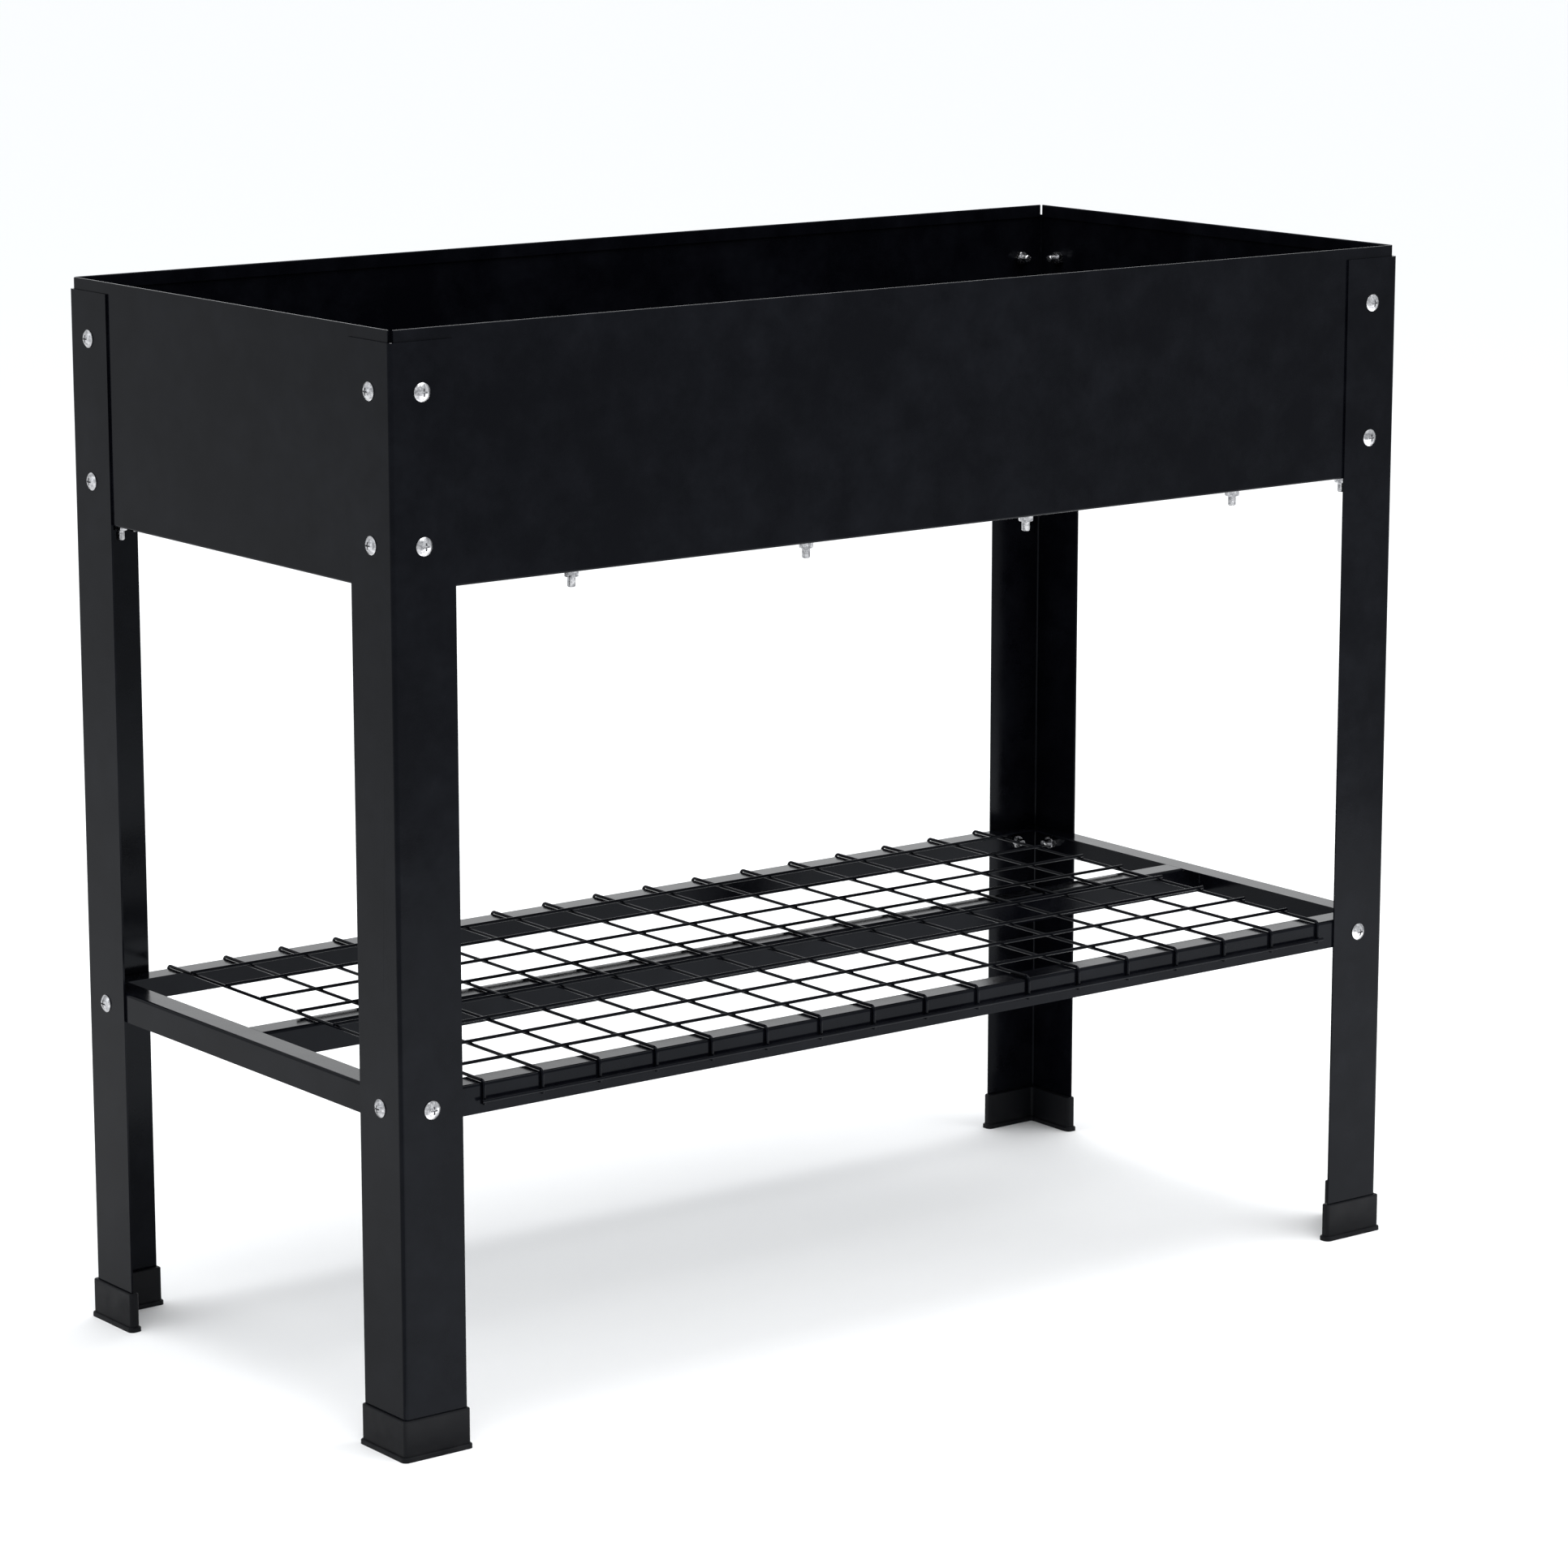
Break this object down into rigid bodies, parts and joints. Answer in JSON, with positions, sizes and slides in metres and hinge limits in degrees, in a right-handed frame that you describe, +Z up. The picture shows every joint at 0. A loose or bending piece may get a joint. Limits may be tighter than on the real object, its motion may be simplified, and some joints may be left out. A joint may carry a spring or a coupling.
{
  "type": "raised planter",
  "caption": "Free-standing steel planter box on tall angle legs with moulded feet, and a lift-off wire shelf on a bolted rail frame below.",
  "frame": {"origin": "centre of the footprint on the ground", "axes": "+Z up; +X along the planter's length; the front long side faces -Y"},
  "size_m": [0.9474, 0.4376, 0.8],
  "materials": {
    "powder_coat": "black powder coat, semi-gloss with a faint orange peel",
    "wire": "black powder-coated wire, semi-gloss",
    "foot": "black moulded plastic, matte",
    "zinc": "bright zinc plate"
  },
  "bodies": {
    "planter": {"leg_front_left": "powder_coat", "leg_front_right": "powder_coat", "leg_rear_right": "powder_coat", "leg_rear_left": "powder_coat", "foot_front_left": "foot", "foot_front_right": "foot", "foot_rear_right": "foot", "foot_rear_left": "foot", "panel_front": "powder_coat", "panel_right": "powder_coat", "panel_rear": "powder_coat", "panel_left": "powder_coat", "floor_panel": "powder_coat", "shelf_rail_front": "powder_coat", "shelf_rail_right": "powder_coat", "shelf_rail_rear": "powder_coat", "shelf_rail_left": "powder_coat", "shelf_rail_centre": "powder_coat", "box_bolts": "zinc", "box_nuts": "zinc", "shelf_bolts": "zinc", "shelf_nuts": "zinc", "floor_bolts": "zinc", "floor_nuts": "zinc"},
    "wire_shelf": {"shelf_cross_wires": "wire", "shelf_long_wires": "wire"}
  },
  "joints": [
    {"name": "shelf_lift", "type": "slide", "parent": "planter", "child": "wire_shelf", "axis": [0, 0, 1], "range_m": [0, 0.33]}
  ]
}
